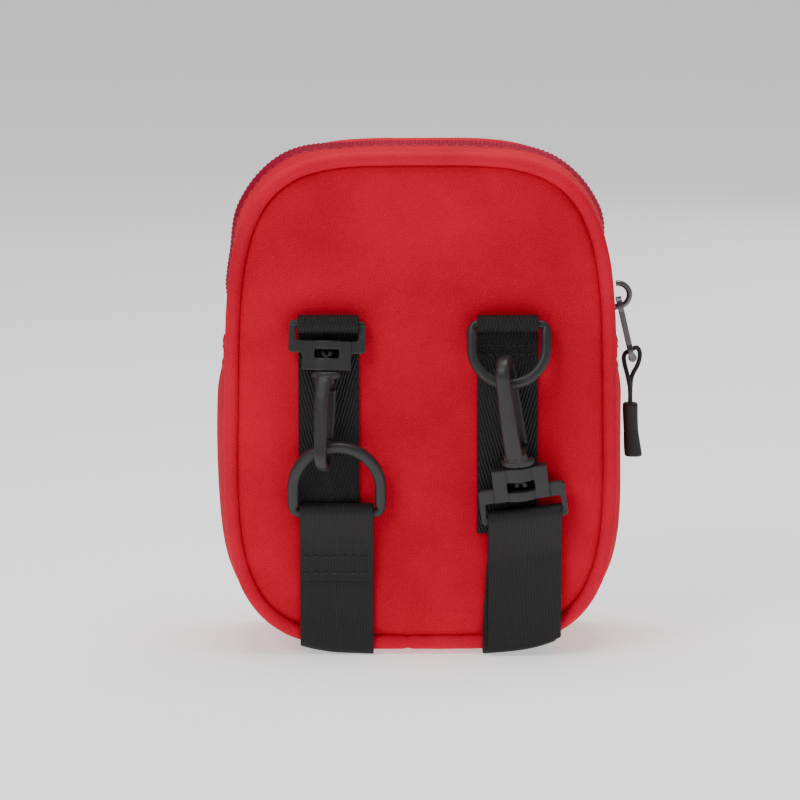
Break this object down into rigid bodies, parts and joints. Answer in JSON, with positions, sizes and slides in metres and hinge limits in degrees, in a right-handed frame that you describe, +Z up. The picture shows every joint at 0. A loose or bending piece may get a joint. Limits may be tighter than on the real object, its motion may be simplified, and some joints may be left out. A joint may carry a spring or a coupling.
{
  "type": "first aid kit",
  "caption": "Soft zipped first aid pouch with piped edges, opening top flap, packed contents, and swivel snap hooks clipped to D-rings on back straps.",
  "frame": {"origin": "bottom centre of the standing kit's box, measured without the zip pull's cord and grip", "axes": "+Z up, +X to the right seen from the back panel, +Y from the back panel, with its straps and clips, to the front"},
  "size_m": [0.1358, 0.0722, 0.1629],
  "materials": {
    "red_fabric": "coarse woven polyester, matt",
    "zip_tape": "woven zip tape with nylon coil",
    "lining": "thin coated nylon",
    "cross_print": "white twill patch",
    "webbing": "herringbone polyester webbing",
    "black_plastic": "moulded acetal, satin",
    "dark_metal": "gunmetal plated zinc",
    "cord": "braided cord",
    "grip_rubber": "moulded soft grip",
    "crepe": "crepe weave",
    "zinc_tape": "woven tape on a core",
    "sachet_paper": "sealed paper sachet",
    "nitrile_pack": "folded thin gloves",
    "foil": "crinkled metallised film",
    "steel": "brushed"
  },
  "bodies": {
    "pouch": {"back_panel": "red_fabric", "bandage_roll_left": "crepe", "bandage_roll_middle": "crepe", "cross_patch": "cross_print", "dressing_pack": "sachet_paper", "foil_blanket": "foil", "gloves_pack": "nitrile_pack", "inner_pocket": "lining", "lower_front_panel": "red_fabric", "lower_front_piping": "red_fabric", "lower_gusset": "red_fabric", "lower_strap_left": "webbing", "lower_strap_right": "webbing", "plasters_pack": "sachet_paper", "rear_piping": "red_fabric", "rear_zip_band": "red_fabric", "rear_zip_coil": "zip_tape", "rear_zip_tape": "zip_tape", "tape_roll": "zinc_tape", "tweezers": "steel", "upper_webbing_left": "webbing", "upper_webbing_right": "webbing", "wipes_pack": "sachet_paper", "zip_end_tab_left": "red_fabric", "zip_end_tab_right": "red_fabric"},
    "flap": {"front_zip_band": "red_fabric", "front_zip_tape": "zip_tape", "front_zip_coil": "zip_tape", "flap_panel": "red_fabric", "flap_piping": "red_fabric"},
    "zip_slider": {"zip_slider": "dark_metal"},
    "pull_tab": {"pull_tab": "dark_metal"},
    "pull_cord": {"pull_cord": "cord", "pull_grip": "grip_rubber"},
    "bracket_left": {"hook_bracket_left": "black_plastic"},
    "hook_left": {"snap_hook_left": "black_plastic"},
    "gate_left": {"hook_gate_left": "black_plastic"},
    "ring_left": {"d_ring_left": "black_plastic"},
    "bracket_right": {"hook_bracket_right": "black_plastic"},
    "hook_right": {"snap_hook_right": "black_plastic"},
    "gate_right": {"hook_gate_right": "black_plastic"},
    "ring_right": {"d_ring_right": "black_plastic"}
  },
  "joints": [
    {"name": "flap_open", "type": "hinge", "parent": "pouch", "child": "flap", "pos_m": [-0.00291, 0.0353, 0.10094], "axis": [-1, 0, 0], "range_deg": [0, 75]},
    {"name": "zip_travel", "type": "slide", "parent": "pouch", "child": "zip_slider", "axis": [-0.0641, 0, 0.9979], "range_m": [-0.004, 0.006]},
    {"name": "tab_lift", "type": "hinge", "parent": "zip_slider", "child": "pull_tab", "pos_m": [0.06113, 0.00655, 0.11361], "axis": [0, -1, 0], "range_deg": [0, 120]},
    {"name": "cord_swing", "type": "hinge", "parent": "pull_tab", "child": "pull_cord", "pos_m": [0.06536, 0.00655, 0.09529], "axis": [1, 0, 0], "range_deg": [-45, 45]},
    {"name": "clip_left_lift", "type": "hinge", "parent": "pouch", "child": "bracket_left", "pos_m": [-0.03261, -0.02345, 0.10814], "axis": [-0.9997, 0, 0.0262], "range_deg": [0, 6]},
    {"name": "hook_left_swivel", "type": "hinge", "parent": "bracket_left", "child": "hook_left", "pos_m": [-0.03261, -0.02345, 0.10814], "axis": [-0.026, -0.1305, -0.9911], "range_deg": [-10, 3]},
    {"name": "gate_left_open", "type": "hinge", "parent": "hook_left", "child": "gate_left", "pos_m": [-0.03238, -0.0233, 0.08673], "axis": [-0.9665, 0.2566, -0.0085], "range_deg": [0, 10], "stiffness_Nm_per_rad": 0.004, "springref_deg": -5.73},
    {"name": "ring_left_lift", "type": "hinge", "parent": "pouch", "child": "ring_left", "pos_m": [-0.02971, -0.02345, 0.04724], "axis": [1, 0, 0], "range_deg": [0, 13.5]},
    {"name": "clip_right_lift", "type": "hinge", "parent": "pouch", "child": "bracket_right", "pos_m": [0.03049, -0.02495, 0.04614], "axis": [0.9914, 0, 0.1305], "range_deg": [0, 6]},
    {"name": "hook_right_swivel", "type": "hinge", "parent": "bracket_right", "child": "hook_right", "pos_m": [0.03049, -0.02495, 0.04614], "axis": [-0.13, -0.0872, 0.9877], "range_deg": [-5, 10]},
    {"name": "gate_right_open", "type": "hinge", "parent": "hook_right", "child": "gate_right", "pos_m": [0.02821, -0.02371, 0.07032], "axis": [0.9606, -0.2578, 0.1037], "range_deg": [0, 10], "stiffness_Nm_per_rad": 0.004, "springref_deg": -5.73},
    {"name": "ring_right_lift", "type": "hinge", "parent": "pouch", "child": "ring_right", "pos_m": [0.02519, -0.02345, 0.10814], "axis": [-1, 0, 0], "range_deg": [0, 18.8]}
  ],
  "couplings": [
    {"joint": "ring_left_lift", "follows": "clip_left_lift", "ratio": 1.8},
    {"joint": "ring_right_lift", "follows": "clip_right_lift", "ratio": 2.5}
  ]
}
